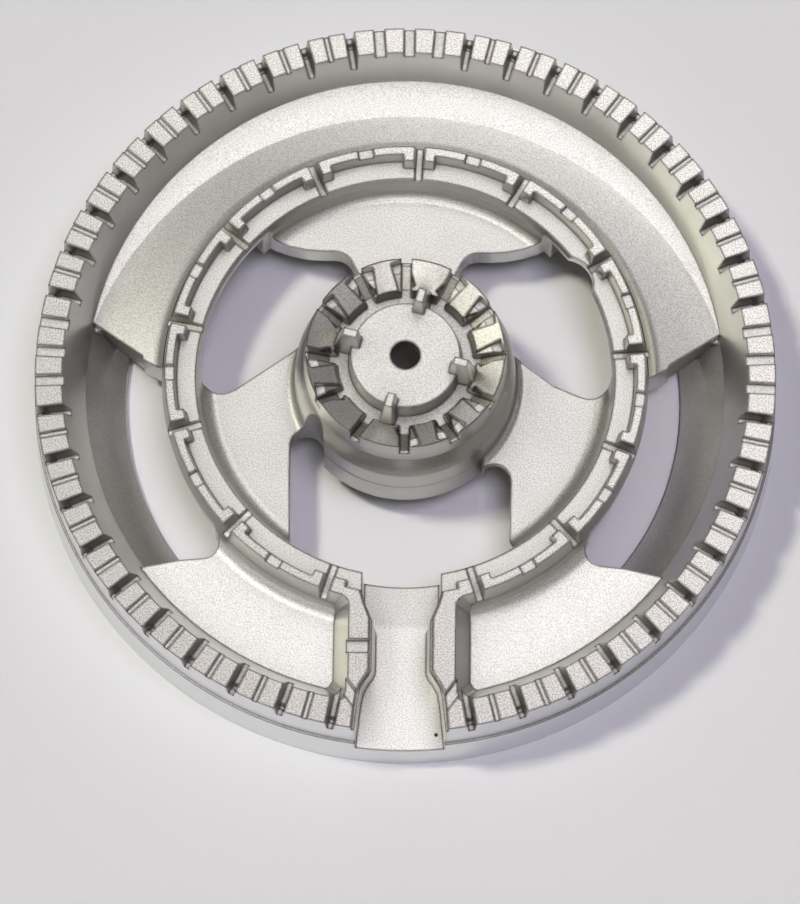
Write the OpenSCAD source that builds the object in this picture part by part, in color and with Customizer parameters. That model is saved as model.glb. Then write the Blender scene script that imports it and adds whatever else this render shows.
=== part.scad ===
// Cast body of a gas hob burner with three concentric sets of ports: a toothed outer rim, a slotted
// middle ring and a raised central crown. A trough floor joins rim and ring, three webs carry the
// crown, and an open channel runs from the ring out through the rim.
// +Z is up and the body stands on Z = 0. The origin is on the common axis of rim, ring and crown.
// The channel opens towards -Y. Bearings are degrees clockwise from +Y, seen from above.

/* [Rim] */
// Outer radius over the teeth, at their tops
rim_r = 65; // [63:0.5:72]
// Height of the tooth tops above the table
rim_h = 18; // [17:0.5:22]
// Radial length of a tooth at its top
tooth_len = 4.8; // [4:0.1:6.5]
// Width of a port slot at the tooth tops
slot_w = 1.75; // [1.2:0.05:2.2]
// Depth of a port slot below the tooth tops
slot_depth = 3.1; // [2:0.1:4]
// Width of the fine groove across each pair of teeth
fine_w = 0.9; // [0.5:0.05:1.2]
// Depth of the fine grooves
fine_depth = 0.45; // [0.3:0.05:0.9]
// Width of the three grooves in each wide block
block_w = 1.95; // [1.2:0.05:2.3]
// Depth of the grooves in the wide blocks
block_depth = 0.9; // [0.5:0.1:1.5]
// How far the foot stands out past the teeth
foot_out = 1.3; // [0.9:0.1:2.5]
// Height of the ledge on the outside of the rim
ledge_h = 9.6; // [8:0.1:11]

/* [Trough] */
// Depth of the two lower pockets below the tooth tops
pocket_drop = 7.2; // [6:0.1:8]
// Slope of the upper floor, as fall per radial millimetre
floor_fall = 0.25; // [0.2:0.01:0.28]
// Tilt of the flat that fills the far side of the upper floor, degrees
flat_tilt = 2.18; // [1.8:0.02:2.6]

/* [Middle ring] */
// Outer radius of the raised lip at its top
ring_r = 42.2; // [41.6:0.1:42.8]
// Radial width of the lip
lip_w = 1.5; // [1.1:0.1:1.9]
// Drop from the lip to the flat inside it
ring_step = 2.5; // [1.6:0.1:2.8]
// Width of a ring slot at the lip
ring_slot_w = 1.85; // [1.3:0.05:2.2]
// Depth of the shallow notch in the middle of each lip
notch_depth = 0.7; // [0.4:0.1:1.2]
// Width of the shallow lip notch
notch_w = 2.75; // [1.5:0.05:3.5]

/* [Webs] */
// Drop from the tooth tops to the webs
web_drop = 7; // [6.4:0.1:7.6]
// Height of the underside of ring, webs and crown above the table
under_h = 6; // [5:0.1:6.5]

/* [Crown] */
// Outer radius of the crown at its top edge
crown_r = 17.3; // [16.6:0.1:18]
// Height of the crown's top edge above the tooth tops
crown_h = 9.8; // [9:0.1:11]
// Width of a crown slot
crown_slot_w = 1.75; // [1.2:0.05:2.4]
// Radius of the central boss at its top
boss_r = 9.55; // [9:0.05:10]
// Drop from the crown's top edge to the top of the boss
boss_drop = 1.5; // [1:0.1:2.5]
// Diameter of the central bore
hole_d = 5.15; // [4:0.05:8]
// Height of the four locating lugs above the boss
lug_h = 4.2; // [3:0.1:5.5]
// Width of a lug at its top
lug_w = 1.4; // [1:0.1:2]

/* [Channel] */
// Width of the channel floor at its waist
channel_w = 8.9; // [7:0.1:9.6]
// Height of the channel floor above the table
channel_h = 7; // [6.6:0.1:8.5]

/* [Hidden] */
$fn = 96;
over = 0.4;

// rim
rim_in_r = rim_r - tooth_len;
wall_draft = 0.397;
knee_drop = 9;
knee_r = rim_in_r - wall_draft * knee_drop;
knee_h = rim_h - knee_drop;
skirt_foot_h = 0.3;
skirt_foot_r = knee_r - 0.855 * (knee_h - skirt_foot_h);
skirt_w = 3.3;
hollow_top = rim_h - 6;
hollow_in_r = rim_in_r - wall_draft * 6 + 3.2;
upper_first = 9.67;
upper_step = 7.53;
lower_first = 97.4;
lower_step = 7.98;
slots_a_side = 10;
block_step = 4.9;
side_block = 87.4;
slot_floor_w = slot_w * 0.6;
sill_r = rim_r - 1.1;

// trough floor
floor_bottom = 4.4;
pocket_h = rim_h - pocket_drop;
fillet_r = 3.2;
fillet_x = ring_r + 3.8;
upper_fillet_h = rim_h - 2.4;
fall_angle = atan(floor_fall);
crease_y = 50.5;
floor_root = [[ring_r + 3.5, floor_bottom], [ring_r + 1.5, under_h], [ring_r - 0.6, under_h]];
upper_start = [
    fillet_x - fillet_r * sin(fall_angle),
    upper_fillet_h - fillet_r * cos(fall_angle)
];
gap_turn = 0.43;
flat_h = upper_start[1] - floor_fall * (crease_y - upper_start[0]) - crease_y * tan(flat_tilt);

// middle ring
ring_step_h = rim_h - ring_step;
ring_in_r = ring_r - 5.3;
return_r = ring_r - 2.75;
lip_draft = 0.45;
ring_wall_r = ring_r + 0.72;
ring_wall_h = rim_h - 4.2;
ring_slots = [2.9, 29.7, 58.2, 83.7, 109.5, 135.4, 161.7, 198.7, 226.4, 255, 282.7, 309.6, 336.2];
ring_slot_fall = 9.3;
channel_gap = 6;
return_span = 3.95;
channel_return = 4.5;
bay_bearing = 58.1;
bay_r = 5.1;
bay_at = ring_in_r - 3.9;

// webs and openings
web_h = rim_h - web_drop;
opening_r = ring_r - 5.75;
arch_r = 3;
left_arch = [-17.15, -11.8];
right_arch = [15.8, -17.8];
right_arch_r = 2.95;
near_right_x = 18.55;
flange_t = 2.1;
flange_from = 45;
flange_to = 87.5;

// crown
crown_top = rim_h + crown_h;
gutter_h = crown_top - 5.2;
boss_top = crown_top - boss_drop;
land_in_r = crown_r - 4.9;
land_fall = 2.8 / 4.9;
gutter_r = land_in_r - 0.5;
skirt_top_r = crown_r + 2.05;
skirt_bottom_r = crown_r + 3.2;
skirt_top_h = crown_top - 10.5;
crown_slots = 12;
lug_bearing = 15;
plain_lands = [15, 105, 195, 225, 285];
rib_w = 3.2;
rib_flare = 4.8;

// channel
wall_top_x = 9.25;
wall_foot_x = wall_top_x + 0.355 * (pocket_drop + 0.5);
channel_x = -0.18;
waist = channel_w / 2;
ledge_from = rim_h - 1.4;

// One side of the channel at its floor, below the ledge and above it: extra half width and y.
channel_floor_line = [
    [2.1, -30],
    [2.1, -40.6],
    [1.45, -42.2],
    [0, -45],
    [0, -51.9],
    [0.4, -53],
    [1.2, -54],
    [2.05, -55.6],
    [2.45, -57.8],
    [3.8, -rim_r - 5]
];
channel_wall_line = [
    [2.45, -30],
    [2.4, -40],
    [1.75, -42.2],
    [0.55, -45],
    [0.55, -54.1],
    [0.95, -54.9],
    [1.55, -55.8],
    [2.35, -57.2],
    [2.75, -58.9],
    [3.95, -rim_r - 5]
];
channel_ledge_line = [
    [2.75, -30],
    [2.75, -40],
    [2.1, -42.3],
    [1.05, -44.9],
    [1.05, -54.1],
    [1.65, -55.2],
    [2.45, -56.3],
    [3.2, -58],
    [3.6, -61.1],
    [4.45, -rim_r - 5]
];

function arc(c, r, from, to, steps) =
    [for (i = [0:steps]) c + r * [cos(from + (to - from) * i / steps), sin(from + (to - from) * i / steps)]];

module at(bearing) rotate([0, 0, -bearing]) children();

// Solid between two outlines that have as many points, one at each height. All of an outline is in
// plain view of its first point.
module loft(low, high, from, to) {
    n = len(low);
    polyhedron(
        points = concat([for (p = low) [p[0], p[1], from]], [for (p = high) [p[0], p[1], to]]),
        faces = concat(
            [[for (i = [0:n - 1]) i], [for (i = [n:-1:1]) n + i % n]],
            [for (i = [0:n - 1]) [i, n + i, n + (i + 1) % n]],
            [for (i = [0:n - 1]) [i, n + (i + 1) % n, (i + 1) % n]]
        )
    );
}

module sector(from, to) rotate([0, 0, 90 - to]) rotate_extrude(angle = to - from) children();

// Outline in x and z, run outwards along +Y.
module radial(from, to) translate([0, to, 0]) rotate([90, 0, 0]) linear_extrude(height = to - from) children();

// Outline in radius and z, run across +Y over a width.
module across(w) rotate([90, 0, 90]) translate([0, 0, -w / 2]) linear_extrude(height = w) children();

module rim() rotate_extrude() polygon([
    [rim_r + foot_out - 3, 0],
    [rim_r + foot_out, 0],
    [rim_r + foot_out - 0.65, ledge_h - 0.3],
    [rim_r + 0.2, ledge_h],
    [rim_r, rim_h],
    [rim_in_r, rim_h],
    [knee_r, knee_h],
    [skirt_foot_r, skirt_foot_h],
    [skirt_foot_r + skirt_w, skirt_foot_h],
    [knee_r + skirt_w, knee_h],
    [hollow_in_r, hollow_top],
    [rim_r - 2.6, hollow_top]
]);

module ring_webs_and_crown() rotate_extrude() polygon(concat(
    [
        [17.5, under_h],
        [ring_r, under_h],
        [ring_wall_r, ring_wall_h],
        [ring_r, rim_h],
        [return_r, rim_h],
        [return_r - lip_draft, ring_step_h],
        [ring_in_r, ring_step_h]
    ],
    arc([opening_r - 3, web_h + 2.75], 2.75, 0, -90, 8),
    arc([crown_r + 3.9, web_h + 1.6], 1.6, -90, -180, 6),
    [
        [skirt_top_r, skirt_top_h],
        [crown_r + 1.65, crown_top - 8.8],
        [crown_r + 1.2, crown_top - 7.5],
        [crown_r + 0.75, crown_top - 6.5],
        [crown_r + 0.45, crown_top - 5.9],
        [crown_r, crown_top],
        [land_in_r, crown_top - 2.8],
        [gutter_r, gutter_h],
        [boss_r + 0.35, gutter_h],
        [boss_r, boss_top],
        [hole_d / 2, boss_top],
        [hole_d / 2, boss_top - 3],
        [boss_r - 2.1, boss_top - 3],
        [boss_r - 1.9, gutter_h - 3],
        [crown_r - 2.5, gutter_h - 3]
    ]
));

module upper_floor() {
    sector(-90, 90) polygon(concat(
        floor_root,
        [[ring_r - 0.6, upper_fillet_h]],
        arc([fillet_x, upper_fillet_h], fillet_r, 180, 270 - fall_angle, 8),
        [
            [knee_r + 2, upper_start[1] - floor_fall * (knee_r + 2 - upper_start[0])],
            [skirt_foot_r + 4.6, floor_bottom]
        ]
    ));
    intersection() {
        sector(-85, 85) polygon([
            [ring_r + 5, floor_bottom + 1],
            [ring_r + 5, rim_h - 5],
            [knee_r + 2.3, rim_h - 5],
            [knee_r + 1.6, knee_h],
            [skirt_foot_r + 5, floor_bottom + 1]
        ]);
        translate([0, 0, flat_h])
            rotate([flat_tilt, 0, 0])
                translate([-80, -80, -20])
                    cube([160, 160, 20]);
    }
}

module pocket_floor() sector(90, 270) polygon(concat(
    floor_root,
    [[ring_r - 0.6, pocket_h + fillet_r]],
    arc([fillet_x, pocket_h + fillet_r], fillet_r, 180, 270, 9),
    [[knee_r + 2, pocket_h], [knee_r + 1.5, knee_h], [skirt_foot_r + 4.4, floor_bottom]]
));

// Gap in the trough floor at +X. The one at -X is its mirror image, turned the same way as this one.
module side_gap() linear_extrude(height = rim_h) polygon(concat(
    [
        [40.5, -1],
        [43.1, 0.8],
        [46.6, 3.2],
        [46.6, 3.8],
        [55.1, 10.05],
        [64, 16.6],
        [78, -10],
        [64, -38.8],
        [46.3, -34.9],
        [39, -33.3]
    ],
    arc([34.97, -29.9], 3, -101, -221, 6),
    [[30, -26], [36, -15]]
));

// Low shelf between the end of the upper floor and the rim.
module end_shelf() translate([0, 0, floor_bottom]) linear_extrude(height = knee_h - 0.3 - floor_bottom)
    polygon([[54, 9.3], [56.5, 9.1], [58, 9], [58, 12], [55, 11.5]]);

module floors() difference() {
    union() {
        upper_floor();
        pocket_floor();
    }
    at(gap_turn) {
        side_gap();
        mirror([1, 0, 0]) side_gap();
    }
    sector(-68, 68) polygon([
        [ring_r + 3, floor_bottom - over],
        [ring_r + 3, upper_start[1] - 3.1],
        [ring_r + 10.8, upper_start[1] - 3.1 - 7.8 * floor_fall],
        [ring_r + 9, floor_bottom - over]
    ]);
    for (from = [138, 200])
        sector(from, from + 22) polygon([
            [ring_r + 3, floor_bottom - over],
            [ring_r + 3, pocket_h - 3],
            [ring_r + 10.8, pocket_h - 3],
            [ring_r + 9, floor_bottom - over]
        ]);
}

module channel_block() {
    translate([0, -39.5, 0]) mirror([0, 1, 0]) radial(0, rim_r - 41) polygon([
        [-wall_foot_x, floor_bottom],
        [wall_foot_x, floor_bottom],
        [wall_foot_x, pocket_h - 0.5],
        [wall_top_x, rim_h],
        [-wall_top_x, rim_h],
        [-wall_foot_x, pocket_h - 0.5]
    ]);
    difference() {
        translate([-wall_top_x, -rim_r + 1.2, floor_bottom])
            cube([2 * wall_top_x, rim_r - 36.6, ring_step_h - floor_bottom - 2]);
        cylinder(h = rim_h, r = opening_r);
    }
}

// Rounds the two corners that a channel wall makes with the ring and with the rim.
module wall_corners() {
    loft(
        [[10.8, -41.4], [10.8, -43.4], [11.6, -43.2], [12.4, -41.9], [13.5, -40.2], [11.8, -40.2]],
        [[8.5, -41], [8.5, -42.7], [9, -42.7], [9.62, -41.6], [10.8, -40.6], [9.3, -40.4]],
        pocket_h - 0.8,
        rim_h
    );
    loft(
        [[10.8, -56.2], [10.8, -58], [14.9, -58], [14.9, -56.2], [12.8, -55.1], [11.5, -53], [10.8, -53]],
        [[8.3, -59.6], [8.3, -60.8], [10.9, -60.8], [10.9, -59.8], [9.7, -59.05], [9, -57.9], [8.3, -57.9]],
        pocket_h - 0.8,
        rim_h
    );
}

function both_sides(line) = concat(
    [for (p = line) [-waist - p[0], p[1]]],
    [for (i = [len(line) - 1:-1:0]) [waist + line[i][0], line[i][1]]]
);

// Drafted hollow between a floor line and a wall line, each taken on both sides of the middle.
module drafted_hollow(floor_line, wall_line, from, to) {
    n = len(floor_line);
    polyhedron(
        points = [
            for (row = [[floor_line, from], [wall_line, to]], side = [-1, 1], p = row[0])
                [side * (waist + p[0]), p[1], row[1]]
        ],
        faces = concat(
            [[n, 3 * n, 2 * n, 0], [n - 1, 3 * n - 1, 4 * n - 1, 2 * n - 1]],
            [
                for (i = [0:n - 2])
                    each [
                        [i, i + 1, n + i + 1, n + i],
                        [2 * n + i, 3 * n + i, 3 * n + i + 1, 2 * n + i + 1],
                        [i, 2 * n + i, 2 * n + i + 1],
                        [i, 2 * n + i + 1, i + 1],
                        [n + i + 1, 3 * n + i + 1, 3 * n + i],
                        [n + i + 1, 3 * n + i, n + i]
                    ]
            ]
        )
    );
}

module channel() translate([channel_x, 0, 0]) {
    drafted_hollow(channel_floor_line, channel_wall_line, channel_h, ledge_from + over);
    translate([0, 0, ledge_from])
        linear_extrude(height = 5)
            polygon(both_sides(channel_ledge_line));
}

module gap_hub() cylinder(h = skirt_top_h, r1 = skirt_bottom_r + 0.05, r2 = skirt_top_r + 0.01);

// Gap between the far web and one of the lower webs. Its last points run along the lower web's edge.
module side_opening(lower_edge) difference() {
    intersection() {
        cylinder(h = ring_step_h - 0.5, r = opening_r);
        linear_extrude(height = ring_step_h) polygon(concat(
            [[5, 8], [7.6, 18], [8.6, 20.3]],
            arc([12.9, 21.1], 3.5, 160, 90, 4),
            arc([15, 46], 21.45, -90, -50, 5),
            [[40, 34], [60, 4]],
            lower_edge
        ));
    }
    gap_hub();
}

module side_openings() {
    side_opening(concat(arc([32.6, 1.3], 3.9, 0, -116, 6), [[26.3, -0.25], [19.5, 4.9], [14, 9.1]]));
    mirror([1, 0, 0])
        side_opening(concat(arc([32.6, 1.6], 4.03, 0, -125, 6), [[20, 5.6], [14, 9.9]]));
    for (from = [flange_from, -flange_to])
        sector(from, from + flange_to - flange_from) polygon([
            [opening_r - 1, under_h - over],
            [opening_r - 1, ring_step_h - flange_t],
            [ring_r - 1.6, ring_step_h - flange_t],
            [ring_r - 1.4, under_h - over]
        ]);
}

module near_opening() {
    difference() {
        intersection() {
            cylinder(h = ring_step_h - 0.5, r = opening_r);
            linear_extrude(height = ring_step_h) polygon(concat(
                [[near_right_x + 0.9, -40], [near_right_x + 0.9, -31.5], [near_right_x, -29]],
                arc(right_arch, right_arch_r, 0, 132, 6),
                [[right_arch[0] + right_arch_r * cos(132), -13], [-14, -13], [-16, -17], [left_arch[0] - arch_r, -17]],
                [[left_arch[0] - arch_r + 0.6, -40]]
            ));
        }
        gap_hub();
    }
    translate([left_arch[0], left_arch[1], 0]) {
        cylinder(h = crown_top - 3, r = arch_r);
        translate([-arch_r, -6, 0]) cube([2 * arch_r, 6, crown_top - 3]);
    }
    sector(124, 143) polygon([
        [skirt_bottom_r + 0.4, under_h - over],
        [skirt_bottom_r + 0.4, web_h - 1.4],
        [28, web_h - 1.4],
        [28, under_h - over]
    ]);
}

module bay() at(bay_bearing) translate([0, bay_at, 0]) cylinder(h = rim_h, r = bay_r);

module rim_slot() {
    radial(rim_in_r - 2.5, rim_r + 2) polygon([
        [-slot_floor_w / 2, rim_h - slot_depth],
        [slot_floor_w / 2, rim_h - slot_depth],
        [slot_w / 2, rim_h + 0.2],
        [-slot_w / 2, rim_h + 0.2]
    ]);
    translate([-slot_floor_w / 2, sill_r - 0.9, rim_h - slot_depth - 0.8]) cube([slot_floor_w, 0.9, 2]);
}

module rim_groove(w, depth) translate([-w / 2, rim_in_r - 2, rim_h - depth]) cube([w, tooth_len + 4, depth + 1]);

module rim_cuts() {
    for (i = [0:slots_a_side - 1], side = [-1, 1]) {
        at(side * (upper_first + i * upper_step)) rim_slot();
        at(side * (lower_first + i * lower_step)) rim_slot();
    }
    for (i = [0:slots_a_side - 2], side = [-1, 1]) {
        at(side * (upper_first + (i + 0.5) * upper_step)) rim_groove(fine_w, fine_depth);
        at(side * (lower_first + (i + 0.5) * lower_step)) rim_groove(fine_w, fine_depth);
    }
    for (middle = [0, side_block, -side_block], i = [-1:1])
        at(middle + i * block_step) rim_groove(block_w, block_depth);
}

module ring_recess(from, to) sector(from, to) polygon([
    [return_r - 1.2, ring_step_h],
    [ring_r - lip_w - lip_draft, ring_step_h],
    [ring_r - lip_w, rim_h + over],
    [return_r - 1.2, rim_h + over]
]);

module ring_slot() translate([0, opening_r, ring_step_h - 0.4]) rotate([-ring_slot_fall, 0, 0]) radial(-1.5, 8) polygon([
    [-0.35 * ring_slot_w, 0],
    [0.35 * ring_slot_w, 0],
    [0.52 * ring_slot_w, 4.4],
    [-0.52 * ring_slot_w, 4.4]
]);

module ring_cuts() {
    for (b = ring_slots)
        at(b) ring_slot();
    for (i = [0:len(ring_slots) - 1]) {
        b = ring_slots[i];
        wrap = i == len(ring_slots) - 1 ? ring_slots[0] + 360 : ring_slots[i + 1];
        if (i == channel_gap)
            ring_recess(b + channel_return, wrap - channel_return);
        else {
            ring_recess(b + return_span, wrap - return_span);
            at((b + wrap) / 2)
                translate([-notch_w / 2, return_r, rim_h - notch_depth])
                    cube([notch_w, 4.5, notch_depth + over]);
        }
    }
    sector(-155, 155) polygon([
        [ring_r - 3.6, under_h - over],
        [ring_r - 3.4, rim_h - 5.8],
        [ring_r - 1.4, rim_h - 5.8],
        [ring_r - 1.2, under_h - over]
    ]);
}

module crown_slot() across(crown_slot_w) polygon([
    [gutter_r - 0.9, gutter_h],
    [gutter_r + 1.4, gutter_h],
    [crown_r - 0.4, crown_top - 3],
    [crown_r + 2, crown_top - 3],
    [crown_r + 2, crown_top + 1],
    [gutter_r - 0.9, crown_top + 1]
]);

module land_rebate() translate([rib_w / 2, 16, 0]) rotate([0, 0, rib_flare]) translate([1.5, -16, 0]) across(3) polygon([
    [crown_r - 0.7, crown_top + 1],
    [crown_r - 0.7, crown_top - 2],
    [crown_r - 2.4, crown_top - 2],
    [land_in_r - 0.4, crown_top - 2 - (crown_r - 2 - land_in_r) * land_fall],
    [land_in_r - 0.4, crown_top + 1]
]);

module crown_cuts() {
    for (i = [0:crown_slots - 1]) {
        land = 15 + i * 30;
        at(i * 30) crown_slot();
        if (len([for (p = plain_lands) if (p == land) p]) == 0)
            at(land) {
                land_rebate();
                mirror([1, 0, 0]) land_rebate();
            }
    }
}

module lug() intersection() {
    across(3) polygon([
        [boss_r - 1.5, gutter_h - 0.2],
        [boss_r - 1.5, boss_top],
        [boss_r - 0.95, boss_top + lug_h],
        [boss_r + 1.65, boss_top + lug_h],
        [land_in_r + 0.3, gutter_h + 1.6],
        [land_in_r + 0.3, gutter_h - 0.2]
    ]);
    radial(5, 15) polygon([
        [-lug_w / 2 - 0.6, gutter_h - 0.2],
        [lug_w / 2 + 0.6, gutter_h - 0.2],
        [lug_w / 2, boss_top + lug_h + over],
        [-lug_w / 2, boss_top + lug_h + over]
    ]);
}

// Shallow grooves over the tops of the two channel walls.
module wall_grooves() {
    translate([-13, -51.05, rim_h - 1.05]) cube([9, 2.3, 2]);
    for (side = [0, 1])
        mirror([side, 0, 0])
            translate([8.65, -58.35, rim_h - 0.95])
                rotate([0, 0, -36])
                    translate([-1.02, -5.2, 0])
                        cube([2.04, 10.4, 2]);
}

// The inner edge of the skirt's foot is turned off centre.
module foot_trim() translate([-0.55, 0, -over]) cylinder(h = 4.2, r1 = 49.2, r2 = 50.05);

// The casting before its gaps, slots and grooves are cut.
module blank() difference() {
    union() {
        rim();
        ring_webs_and_crown();
        floors();
        channel_block();
        for (side = [0, 1]) {
            mirror([side, 0, 0]) wall_corners();
            at(gap_turn) mirror([side, 0, 0]) end_shelf();
        }
    }
    channel();
}

module burner_casting() color([0.72, 0.72, 0.70]) {
    difference() {
        blank();
        side_openings();
        near_opening();
        bay();
        rim_cuts();
        ring_cuts();
        crown_cuts();
        wall_grooves();
        foot_trim();
    }
    for (i = [0:3])
        at(lug_bearing + i * 90) lug();
}

burner_casting();
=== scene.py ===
"""Looks for the cast triple ring burner body: bare shot-blasted aluminium on a pale table."""
import math

import bpy
from mathutils import Matrix, Vector

MM = 0.001

# Picture the camera was matched in, and the camera itself. Lengths in millimetres.
PICTURE_W = 800
PICTURE_H = 904
CENTRE_V = 398
FOCAL_PX = 4153.9
DISTANCE = 726.7
ELEVATION = 71.82
TARGET = Vector((-0.937, -5.118, 18.0))
TURN = 0.72
SENSOR = 36.0

# Cast edges are rounded by this radius, in millimetres.
EDGE_R = 0.6

# A small dark spot painted on the channel floor.
DARK_SPOT = (6.09 * MM, -62.84 * MM, 7.0 * MM)

# Colours of the studio's light.
WARM = (1.0, 1.0, 0.84)
PLAIN = (1.0, 0.985, 0.955)
COOL = (0.99, 0.955, 1.10)
SHADE = (1.0, 0.95, 1.18)
LILAC = (1.0, 0.945, 1.03)

# Lamps far off: elevation, bearing clockwise from +Y, spread in degrees, strength and colour.
# The sheen lamps show in bare metal, and the table lamps light what is matt.
SHEEN_LAMPS = [
    (74, 60, 23, 0.19, LILAC),
    (74, 180, 23, 0.20, PLAIN),
    (74, 240, 23, 0.18, COOL),
    (56, 8, 32, 0.53, PLAIN),
    (56, 45, 32, 0.07, LILAC),
    (56, 180, 32, 0.46, PLAIN),
    (56, 270, 32, 0.80, WARM),
    (32, 112, 44, 0.14, LILAC),
    (32, 292, 44, 0.27, WARM),
    (8, 180, 47, 0.31, COOL),
    (8, 225, 47, 0.70, COOL),
    (8, 270, 47, 0.25, WARM),
    (8, 315, 47, 0.20, COOL),
]
TABLE_LAMPS = [
    (64, 290, 8, 1.45, WARM),
    (78, 115, 26, 1.10, SHADE),
]

# The world's own glow, overhead and near the horizon, and the height at which one turns into the other.
SKY_GLOW = 0.05
HORIZON_GLOW = 0.40
HORIZON_BAND = (0.05, 0.14)


class Value:
    """A number, colour or direction in a shader tree. Arithmetic on it adds Math nodes."""

    def __init__(self, tree, socket):
        self.tree = tree
        self.socket = socket

    def math(self, operation, first, second=None):
        node = self.tree.nodes.new("ShaderNodeMath")
        node.operation = operation
        for slot, value in zip(node.inputs, (first, second)):
            if isinstance(value, Value):
                self.tree.links.new(value.socket, slot)
            elif value is not None:
                slot.default_value = value
        return Value(self.tree, node.outputs[0])

    def __add__(self, other):
        return self.math("ADD", self, other)

    def __sub__(self, other):
        return self.math("SUBTRACT", self, other)

    def __rsub__(self, other):
        return self.math("SUBTRACT", other, self)

    def __mul__(self, other):
        return self.math("MULTIPLY", self, other)

    def __truediv__(self, other):
        return self.math("DIVIDE", self, other)

    __radd__ = __add__
    __rmul__ = __mul__

    def exp(self):
        return self.math("EXPONENT", self)


class Shading:
    """Adds nodes to the tree of a material or of the world."""

    def __init__(self, owner):
        owner.use_nodes = True
        self.tree = owner.node_tree

    def node(self, kind, settings=None, sockets=None, output=0):
        made = self.tree.nodes.new(kind)
        for key, value in (settings or {}).items():
            setattr(made, key, value)
        for key, value in (sockets or {}).items():
            slot = next(s for s in made.inputs if s.identifier == key) if isinstance(key, str) else made.inputs[key]
            if isinstance(value, Value):
                self.tree.links.new(value.socket, slot)
            else:
                slot.default_value = value
        if isinstance(output, str):
            return Value(self.tree, next(s for s in made.outputs if s.identifier == output))
        return Value(self.tree, made.outputs[output])

    def drive(self, node_name, values):
        node = self.tree.nodes[node_name]
        for key, value in values.items():
            if isinstance(value, Value):
                self.tree.links.new(value.socket, node.inputs[key])
            else:
                node.inputs[key].default_value = value

    def place(self):
        return self.node("ShaderNodeTexCoord", output="Object")

    def part(self, axis, vector):
        return self.node("ShaderNodeSeparateXYZ", sockets={0: vector}, output=axis)

    def ramp(self, value, low, high):
        """0 at low, 1 at high, smooth between."""
        return self.node(
            "ShaderNodeMapRange",
            {"interpolation_type": "SMOOTHSTEP"},
            {"Value": value, "From Min": low, "From Max": high},
        )

    def noise(self, grain_mm, detail=2.0, roughness=0.5, **settings):
        return self.node(
            "ShaderNodeTexNoise",
            settings,
            {"Vector": self.place(), "Scale": 1 / (grain_mm * MM), "Detail": detail, "Roughness": roughness},
        )

    def mix(self, factor, first, second, blend="MIX"):
        return self.node(
            "ShaderNodeMix",
            {"data_type": "RGBA", "blend_type": blend},
            {"Factor_Float": factor, "A_Color": first, "B_Color": second},
            "Result_Color",
        )


def grey(red, green, blue):
    return (red, green, blue, 1)


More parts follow.
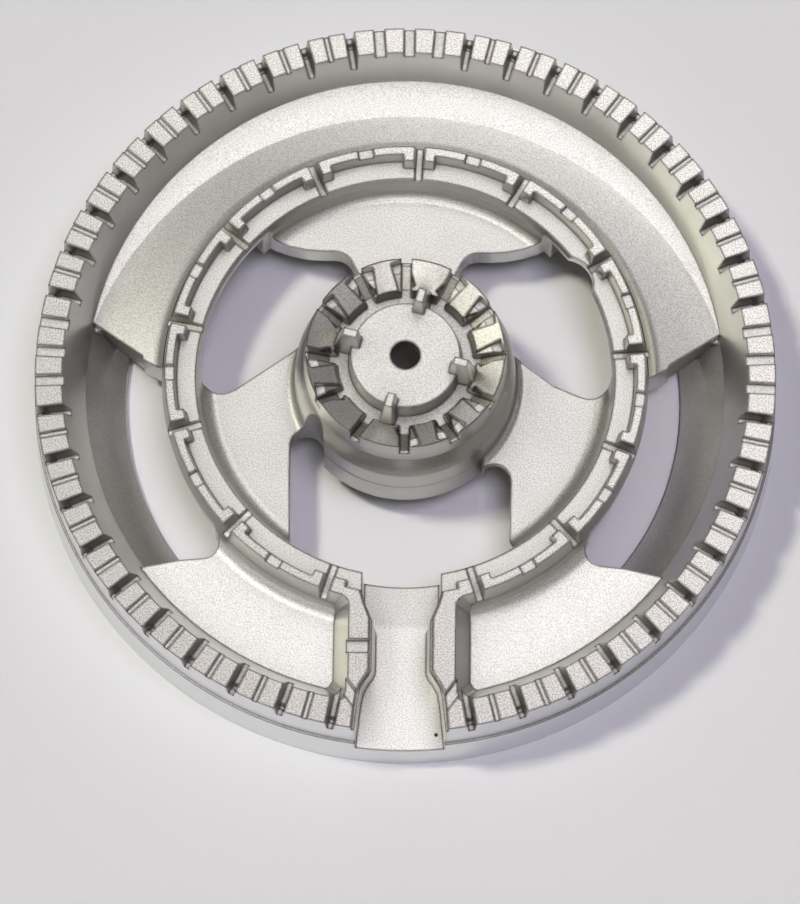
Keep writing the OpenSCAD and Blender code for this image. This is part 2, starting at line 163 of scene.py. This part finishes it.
def cast_aluminium():
    """Bare die-cast aluminium: a blasted grain on what faces up, and on the walls a smoother, duller cast surface
    whose darker tone is partly painted shade. Painted shade also darkens hollows, corners, every edge and the crown's
    walls; painted light lifts the ring's walls and the crown's sloping lands.
    """
    material = bpy.data.materials.new("cast_aluminium")
    finish = Shading(material)
    place = finish.place()
    across, along, height = (finish.part(axis, place) for axis in range(3))
    radius = finish.node("ShaderNodeVectorMath", {"operation": "LENGTH"}, {0: place}, "Value")
    flat_normal = finish.node("ShaderNodeTexCoord", output="Normal")
    up = finish.part(2, flat_normal)
    facing_up = finish.ramp(up, 0.40, 0.85)
    level = finish.ramp(up, 0.97, 0.995)
    tooth_top = level * finish.ramp(height, 17.8 * MM, 17.9 * MM) * (1 - finish.ramp(height, 18.1 * MM, 18.2 * MM))
    sloping = 1 - finish.ramp(up, 0.990, 0.998)
    crown = finish.ramp(height, 19.0 * MM, 20.0 * MM)
    outer = finish.ramp(radius, 43.5 * MM, 45.0 * MM)
    floor = outer * facing_up * (1 - finish.ramp(height, 14.0 * MM, 15.0 * MM))
    flange = finish.ramp(radius, 65.2 * MM, 65.4 * MM) * (1 - facing_up)
    painted_crown_shade = 1 - finish.ramp(radius, 28.0 * MM, 31.0 * MM)
    painted_ring_wall_light = finish.ramp(radius, 33.0 * MM, 36.0 * MM) * (1 - finish.ramp(radius, 41.0 * MM, 43.0 * MM))

    grain = finish.noise(0.25, 1.0, 0.5)
    patches = finish.noise(0.7, 2.0, 0.6)
    cloud = finish.noise(9.0, 2.0)
    # The walls' cast surface is darker than the lands: partly its own smoother finish, partly painted shade on the
    # walls.
    skin_and_shade = finish.mix(finish.ramp(cloud, 0.35, 0.65), grey(0.56, 0.56, 0.53), grey(0.61, 0.605, 0.58))
    skin_and_shade = finish.mix(flange, skin_and_shade, grey(0.74, 0.75, 0.755))
    # Painted shade: the walls round the crown are darkened, where less light reaches them.
    skin_and_shade = finish.mix(painted_crown_shade, skin_and_shade, finish.mix(1.0, skin_and_shade, grey(0.80, 0.79, 0.78), "MULTIPLY"))
    # Painted light: the ring's walls are lightened, as if they caught more light.
    skin_and_shade = finish.mix(painted_ring_wall_light, skin_and_shade, finish.mix(1.0, skin_and_shade, grey(1.25, 1.25, 1.24), "MULTIPLY"))
    land = finish.mix(finish.ramp(cloud, 0.3, 0.7), grey(0.72, 0.715, 0.70), grey(0.76, 0.755, 0.74))
    land = finish.mix(floor, land, grey(0.93, 0.92, 0.905))
    speck = finish.ramp(grain, 0.34, 0.60)
    land = finish.mix(1.0, land, finish.mix(speck, grey(0.73, 0.72, 0.71), grey(1, 1, 1)), "MULTIPLY")
    blasted = finish.mix(speck, grey(0.80, 0.78, 0.77), grey(1.03, 1.02, 1.01))
    land = finish.mix(tooth_top, land, finish.mix(1.0, land, blasted, "MULTIPLY"))
    # Painted light: the crown's sloping lands are lightened, as if lit from the south-east.
    land = finish.mix(sloping * crown, land, finish.mix(1.0, land, grey(1.27, 1.25, 1.21), "MULTIPLY"))
    land = finish.mix(sloping * outer, land, finish.mix(1.0, land, grey(0.92, 0.92, 0.92), "MULTIPLY"))
    colour = finish.mix(facing_up, skin_and_shade, land)

    from_dark_spot = finish.node("ShaderNodeVectorMath", {"operation": "DISTANCE"}, {0: place, 1: DARK_SPOT}, "Value")
    dark_spot = 1 - finish.ramp(from_dark_spot, 0.25 * MM, 0.45 * MM)
    colour = finish.mix(dark_spot, colour, grey(0.06, 0.05, 0.045))

    rounded = finish.node("ShaderNodeBevel", {"samples": 5}, {"Radius": EDGE_R * MM})
    turned = finish.node(
        "ShaderNodeVectorMath", {"operation": "DOT_PRODUCT"},
        {0: rounded, 1: finish.node("ShaderNodeNewGeometry", output="Normal")}, "Value",
    )
    # Painted shade: a dark line along every edge, in place of the dark reflections that the small rounded edges catch.
    edge_line_shade = finish.ramp(turned, 0.998, 0.972) * (0.3 + 0.7 * facing_up)
    colour = finish.mix(edge_line_shade * 0.95, colour, grey(0.07, 0.045, 0.04))
    # Painted shade: hollows and corners are darkened, most of all on the walls.
    open_air = finish.node("ShaderNodeAmbientOcclusion", {"samples": 2, "only_local": True}, {"Distance": 5.0 * MM}, 1)
    painted_hollow_shade = finish.mix(facing_up, grey(0.34, 0.32, 0.30), grey(0.60, 0.58, 0.56))
    painted_hollow_shade = finish.mix(1.0, colour, painted_hollow_shade, "MULTIPLY")
    colour = finish.mix(1 - finish.ramp(open_air, 0.1, 0.8), colour, painted_hollow_shade)
    relief = patches * (0.25 + 0.45 * facing_up) + grain * (0.1 + 0.75 * facing_up - 0.5 * tooth_top)
    bumpy = finish.node(
        "ShaderNodeBump", {}, {"Strength": 0.5, "Distance": 0.07 * MM, "Height": relief, "Normal": rounded}
    )
    finish.drive(
        "Principled BSDF",
        {
            "Metallic": 0.95,
            "Base Color": colour,
            "Roughness": 0.32 + 0.08 * facing_up - 0.07 * tooth_top + 0.15 * (patches - 0.5),
            "Normal": bumpy,
        },
    )
    return material


def table_top():
    material = bpy.data.materials.new("table_top")
    finish = Shading(material)
    mottle = finish.noise(250.0, 1.0)
    finish.drive(
        "Principled BSDF",
        {
            "Base Color": finish.mix(finish.ramp(mottle, 0.3, 0.7), grey(0.79, 0.79, 0.79), grey(0.81, 0.81, 0.81)),
            "Roughness": 0.55,
            "Specular IOR Level": 0.25,
        },
    )
    return material


def lay_table():
    bpy.ops.mesh.primitive_circle_add(vertices=96, radius=40.0, fill_type="NGON", location=(0, 0, 0))
    table = bpy.context.object
    table.name = "table"
    table.data.materials.append(table_top())


def hang_lamp(elevation, bearing, spread, strength, colour, shows_in_metal):
    lamp = bpy.data.lights.new("lamp", "SUN")
    lamp.energy = strength
    lamp.angle = math.radians(spread)
    lamp.color = colour
    stand = bpy.data.objects.new("lamp", lamp)
    stand.rotation_euler = (math.radians(90 - elevation), 0, math.radians(180 - bearing))
    stand.visible_glossy = shows_in_metal
    stand.visible_diffuse = not shows_in_metal
    bpy.context.scene.collection.objects.link(stand)


def light_studio():
    for lamp in SHEEN_LAMPS:
        hang_lamp(*lamp, shows_in_metal=True)
    for lamp in TABLE_LAMPS:
        hang_lamp(*lamp, shows_in_metal=False)
    world = bpy.data.worlds.new("studio")
    bpy.context.scene.world = world
    sky = Shading(world)
    height = sky.part(2, sky.node("ShaderNodeTexCoord", output="Generated"))
    overhead = sky.ramp(height, *HORIZON_BAND)
    sky.drive("Background", {"Strength": HORIZON_GLOW + (SKY_GLOW - HORIZON_GLOW) * overhead, "Color": grey(*PLAIN)})


def stand_camera():
    e = math.radians(ELEVATION)
    back = Vector((0, -math.cos(e), math.sin(e)))
    right = Vector((1, 0, 0))
    up = back.cross(right)
    pose = Matrix((right, up, back)).transposed().to_4x4()
    pose.translation = (back * DISTANCE + TARGET) * MM
    data = bpy.data.cameras.new("camera")
    camera = bpy.data.objects.new("camera", data)
    bpy.context.scene.collection.objects.link(camera)
    camera.matrix_world = Matrix.Rotation(math.radians(TURN), 4, "Z") @ pose
    data.sensor_fit = "HORIZONTAL"
    data.sensor_width = SENSOR
    data.lens = FOCAL_PX / PICTURE_W * SENSOR
    data.shift_y = (CENTRE_V - PICTURE_H / 2) / PICTURE_W
    data.clip_end = 100
    bpy.context.scene.camera = camera


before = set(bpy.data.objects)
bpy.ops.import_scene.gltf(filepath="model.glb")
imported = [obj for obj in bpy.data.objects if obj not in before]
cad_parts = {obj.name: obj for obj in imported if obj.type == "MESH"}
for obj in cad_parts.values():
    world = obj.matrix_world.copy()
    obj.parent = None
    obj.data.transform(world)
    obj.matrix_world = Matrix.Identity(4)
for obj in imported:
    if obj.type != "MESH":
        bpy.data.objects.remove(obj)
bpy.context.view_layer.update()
bpy.ops.object.select_all(action="DESELECT")

stand_camera()
lay_table()
light_studio()

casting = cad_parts["burner_casting"]
casting.data.materials.clear()
casting.data.materials.append(cast_aluminium())

bpy.context.scene.view_settings.view_transform = "Standard"
